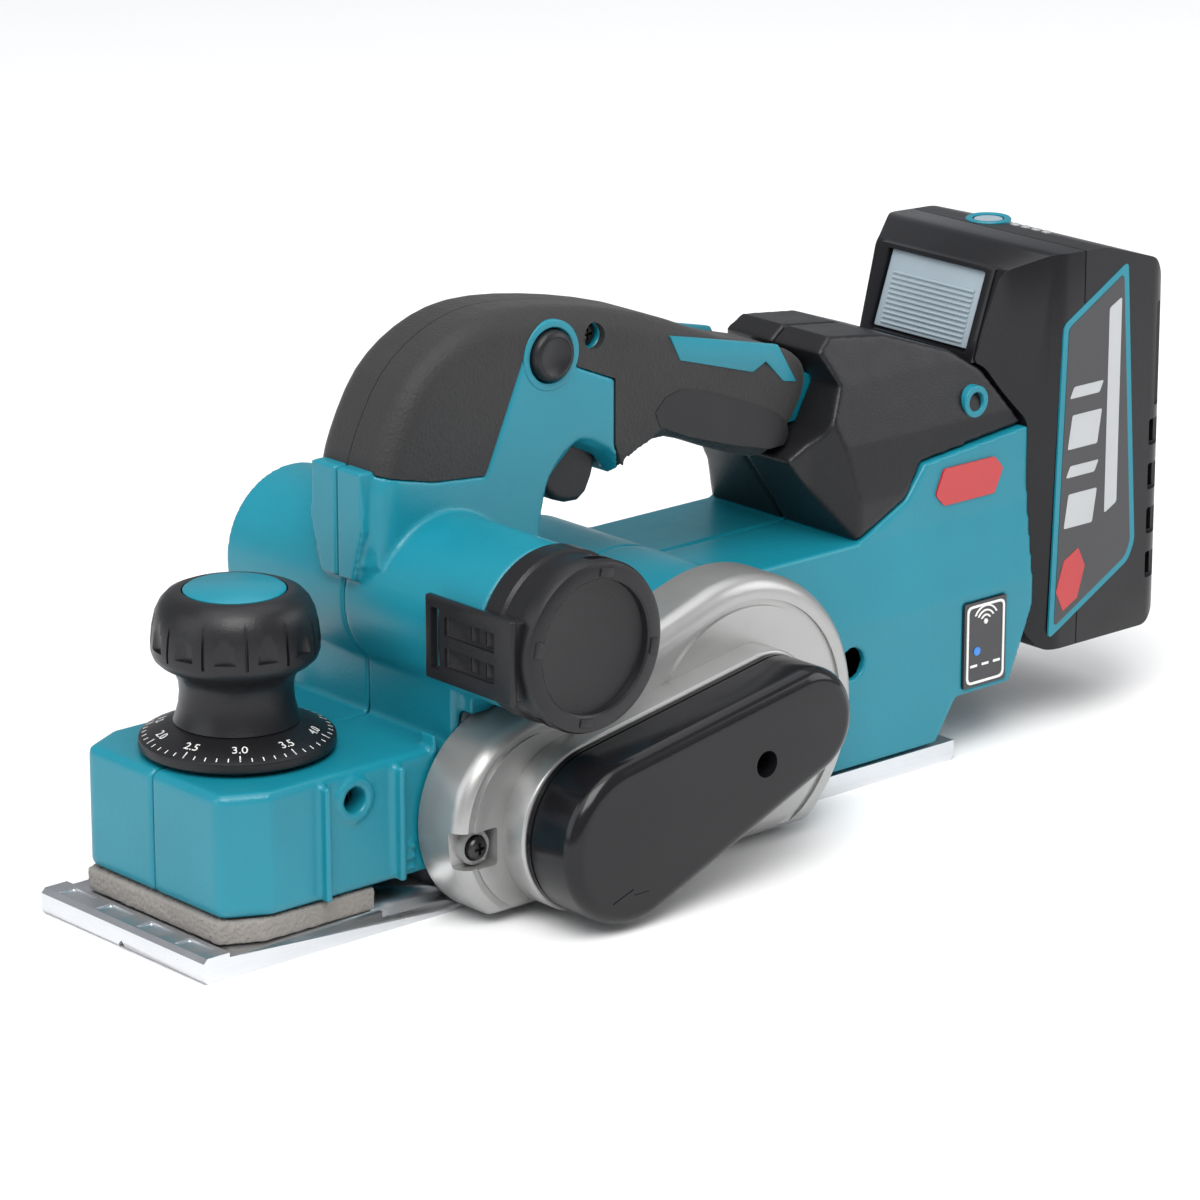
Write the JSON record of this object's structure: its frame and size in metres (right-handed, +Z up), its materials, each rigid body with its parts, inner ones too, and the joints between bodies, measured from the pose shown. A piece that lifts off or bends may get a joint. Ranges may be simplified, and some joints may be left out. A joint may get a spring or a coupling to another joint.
{
  "type": "cordless hand planer",
  "caption": "Cordless hand planer: flat two-part sole, ribbed depth knob with dial, rear pistol handle, belt cover on the side, chip duct with cap and slide-on battery.",
  "frame": {"origin": "on the rear sole, on the centre line, 101.5 mm in front of the sole's rear end", "axes": "+X from the front base to the battery; -Y towards the belt side; +Z up from the sole"},
  "size_m": [0.423, 0.1553, 0.1824],
  "materials": {
    "teal_plastic": "satin moulded plastic, deep teal",
    "black_plastic": "satin moulded plastic, black",
    "gloss_black_plastic": "polished faceted plastic, black",
    "grip_elastomer": "soft overmould with a fine grain, charcoal",
    "painted_casting": "die casting, satin metallic grey paint",
    "black_casting": "black anodised heat sink",
    "machined_aluminium": "milled, fine parallel tool marks",
    "bright_steel": "ground steel",
    "black_steel": "blackened steel",
    "copper_winding": "enamelled copper winding on laminations",
    "cell_can": "nickel plated cell cans in a holder",
    "foam": "open cell foam strip, grey brown",
    "belt_rubber": "black rubber",
    "circuit_board": "green circuit board",
    "grey_plastic": "pale blue grey moulded plastic",
    "panel_film": "dark printed film with a pale frame"
  },
  "bodies": {
    "planer": {"base_seal": "foam", "belt_casting": "painted_casting", "belt_casting_screw": "black_steel", "belt_cover": "black_plastic", "belt_cover_screw": "black_steel", "controller": "black_casting", "depth_spring": "bright_steel", "drive_belt": "belt_rubber", "drum_bearing_left": "bright_steel", "drum_bearing_right": "bright_steel", "drum_frame": "machined_aluminium", "foot_pin": "bright_steel", "grip_left": "grip_elastomer", "grip_right": "grip_elastomer", "handle_screw_front": "black_steel", "handle_screw_pillar": "black_steel", "handle_screw_rear": "black_steel", "housing_left": "teal_plastic", "housing_right": "teal_plastic", "motor_bearing_left": "bright_steel", "motor_bearing_right": "bright_steel", "motor_stator": "copper_winding", "rear_base": "machined_aluminium", "rear_cover_left": "grip_elastomer", "rear_cover_right": "grip_elastomer", "switch_leads": "belt_rubber", "switch_unit": "black_plastic", "terminal_block": "black_plastic", "trigger_pin": "bright_steel", "wireless_panel": "panel_film"},
    "knob": {"dial_ring": "black_plastic", "knob_grip": "black_plastic", "knob_badge": "teal_plastic", "depth_screw": "bright_steel"},
    "front_base": {"front_base": "machined_aluminium"},
    "drum": {"cutter_drum": "machined_aluminium", "blade_a": "bright_steel", "blade_b": "bright_steel", "blade_clamp_a": "black_steel", "blade_clamp_b": "black_steel", "drum_pulley": "machined_aluminium"},
    "rotor": {"motor_rotor": "bright_steel", "motor_shaft": "bright_steel", "cooling_fan": "black_plastic", "motor_pulley": "machined_aluminium"},
    "trigger": {"trigger": "black_plastic"},
    "lock_button": {"lock_off_button": "black_plastic"},
    "battery": {"battery_case_front": "gloss_black_plastic", "battery_case_rear": "black_plastic", "battery_cells": "cell_can", "battery_board": "circuit_board"},
    "release": {"battery_release": "grey_plastic"},
    "gauge": {"gauge_button": "grey_plastic"},
    "cap": {"chip_cap": "black_plastic"},
    "foot": {"rear_foot": "black_plastic"}
  },
  "joints": [
    {"name": "knob_turn", "type": "hinge", "parent": "planer", "child": "knob", "pos_m": [-0.1732, 0, 0.08], "axis": [0, 0, -1], "range_deg": [0, 288]},
    {"name": "front_base_slide", "type": "slide", "parent": "planer", "child": "front_base", "axis": [0, 0, 1], "range_m": [0, 0.004], "deforming": ["base_seal", "depth_spring"]},
    {"name": "drum_spin", "type": "hinge", "parent": "planer", "child": "drum", "pos_m": [-0.0905, 0, 0.0295], "axis": [0, 1, 0], "continuous": true},
    {"name": "rotor_spin", "type": "hinge", "parent": "planer", "child": "rotor", "pos_m": [-0.0155, 0, 0.0515], "axis": [0, 1, 0], "continuous": true},
    {"name": "trigger_pull", "type": "hinge", "parent": "planer", "child": "trigger", "pos_m": [-0.0585, 0, 0.1315], "axis": [0, -1, 0], "range_deg": [0, 12], "stiffness_Nm_per_rad": 0.5, "springref_deg": -5.73},
    {"name": "lock_off_press", "type": "slide", "parent": "planer", "child": "lock_button", "axis": [0, 1, 0], "range_m": [0, 0.0035], "stiffness_N_per_m": 300, "springref_m": -0.002},
    {"name": "battery_slide", "type": "slide", "parent": "planer", "child": "battery", "axis": [0, 0, 1], "range_m": [0, 0.085]},
    {"name": "release_press", "type": "slide", "parent": "battery", "child": "release", "axis": [1, 0, 0], "range_m": [0, 0.004], "stiffness_N_per_m": 400, "springref_m": -0.003},
    {"name": "gauge_press", "type": "slide", "parent": "battery", "child": "gauge", "axis": [0, 0, -1], "range_m": [0, 0.0008], "stiffness_N_per_m": 300, "springref_m": -0.002},
    {"name": "chip_cap_slide", "type": "slide", "parent": "planer", "child": "cap", "axis": [0, -1, 0], "range_m": [0, 0.045]},
    {"name": "rear_foot_swing", "type": "hinge", "parent": "planer", "child": "foot", "pos_m": [0.108, 0.022, 0.014], "axis": [0, 1, 0], "range_deg": [0, 25]}
  ],
  "couplings": [
    {"joint": "knob_turn", "follows": "front_base_slide", "rad_per_m": 1256.6},
    {"joint": "rotor_spin", "follows": "drum_spin", "ratio": 1.68}
  ]
}
